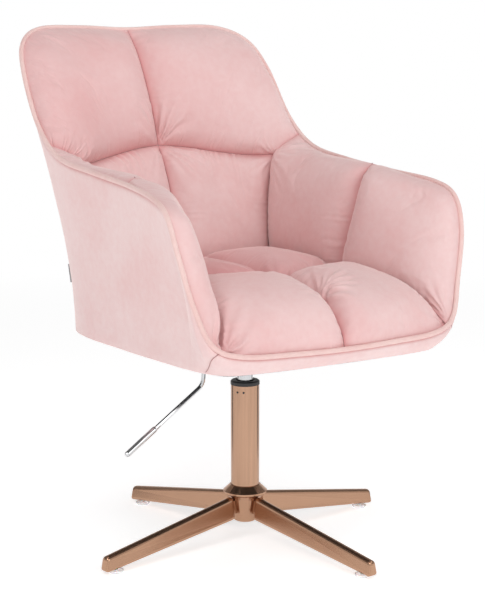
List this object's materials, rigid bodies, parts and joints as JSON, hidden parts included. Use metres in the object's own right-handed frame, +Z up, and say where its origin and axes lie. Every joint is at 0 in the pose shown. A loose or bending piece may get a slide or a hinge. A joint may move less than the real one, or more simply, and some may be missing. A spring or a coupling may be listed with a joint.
{
  "type": "styling chair",
  "caption": "Padded velvet bucket armchair that swivels and lifts on a gas column over a slim cross base, with a bent release lever.",
  "frame": {"origin": "on the floor, below the middle of the whole chair's bounding box; the column's axis is 48.9 mm in front of it", "axes": "+Z up, -Y towards the chair's front, +X towards the sitter's left"},
  "size_m": [0.6244, 0.7224, 0.898],
  "materials": {
    "rose_gold": "brushed rose gold plating on steel",
    "chrome": "polished",
    "steel": "zinc plated",
    "dark_steel": "black powder coat",
    "black_plastic": "moulded",
    "clear_plastic": "milky translucent",
    "rubber": "matt",
    "plywood": "raw plywood",
    "black_fabric": "thin non-woven cover",
    "velvet": "short pile velvet over foam",
    "piping_velvet": "velvet covered cord",
    "grey_tab": "blank woven tab"
  },
  "bodies": {
    "base": {"base_hub": "rose_gold", "base_arm_1": "rose_gold", "base_arm_2": "rose_gold", "base_arm_3": "rose_gold", "base_arm_4": "rose_gold", "foot_glide_1": "clear_plastic", "foot_glide_2": "clear_plastic", "foot_glide_3": "clear_plastic", "foot_glide_4": "clear_plastic", "column_tube": "rose_gold", "guide_bushing": "black_plastic", "column_collar": "black_plastic", "bushing_rivet_1": "dark_steel", "bushing_rivet_2": "dark_steel", "tube_end_plate": "steel", "retaining_clip": "steel", "race_washer": "steel", "ball_race": "steel", "top_washer": "steel", "rubber_buffer": "rubber"},
    "swivel": {"piston_rod": "chrome", "piston_head": "black_plastic"},
    "seat": {"gas_cylinder": "chrome", "gas_socket": "dark_steel", "lever_housing": "dark_steel", "lever_pivot_pin": "steel", "mounting_plate": "dark_steel", "mount_bolt_1": "steel", "mount_bolt_2": "steel", "mount_bolt_3": "steel", "mount_bolt_4": "steel", "tee_nut_1": "steel", "tee_nut_2": "steel", "tee_nut_3": "steel", "tee_nut_4": "steel", "seat_board": "plywood", "dust_cover": "black_fabric", "outer_shell": "velvet", "rim_piping": "piping_velvet", "back_pad_upper_left": "velvet", "back_pad_upper_right": "velvet", "back_pad_lower_left": "velvet", "back_pad_lower_right": "velvet", "arm_pad_rear_left": "velvet", "arm_pad_rear_right": "velvet", "arm_pad_front_left": "velvet", "arm_pad_front_right": "velvet", "seat_cushion": "velvet", "corner_tab": "grey_tab"},
    "lever": {"lever_blade": "steel", "lever_rod": "chrome", "lever_grip": "chrome", "lever_cap": "chrome"},
    "valve": {"valve_pin": "steel"}
  },
  "joints": [
    {"name": "seat_swivel", "type": "hinge", "parent": "base", "child": "swivel", "pos_m": [0, -0.0489, 0.15], "axis": [0, 0, 1], "continuous": true},
    {"name": "gas_lift", "type": "slide", "parent": "swivel", "child": "seat", "axis": [0, 0, 1], "range_m": [0, 0.12]},
    {"name": "lever_pivot", "type": "hinge", "parent": "seat", "child": "lever", "pos_m": [-0.0287, -0.0489, 0.344], "axis": [0, 1, 0], "range_deg": [0, 7], "stiffness_Nm_per_rad": 3, "springref_deg": -17.19},
    {"name": "valve_press", "type": "slide", "parent": "seat", "child": "valve", "axis": [0, 0, -1], "range_m": [0, 0.0036]}
  ],
  "couplings": [
    {"joint": "valve_press", "follows": "lever_pivot", "m_per_rad": 0.0287}
  ]
}
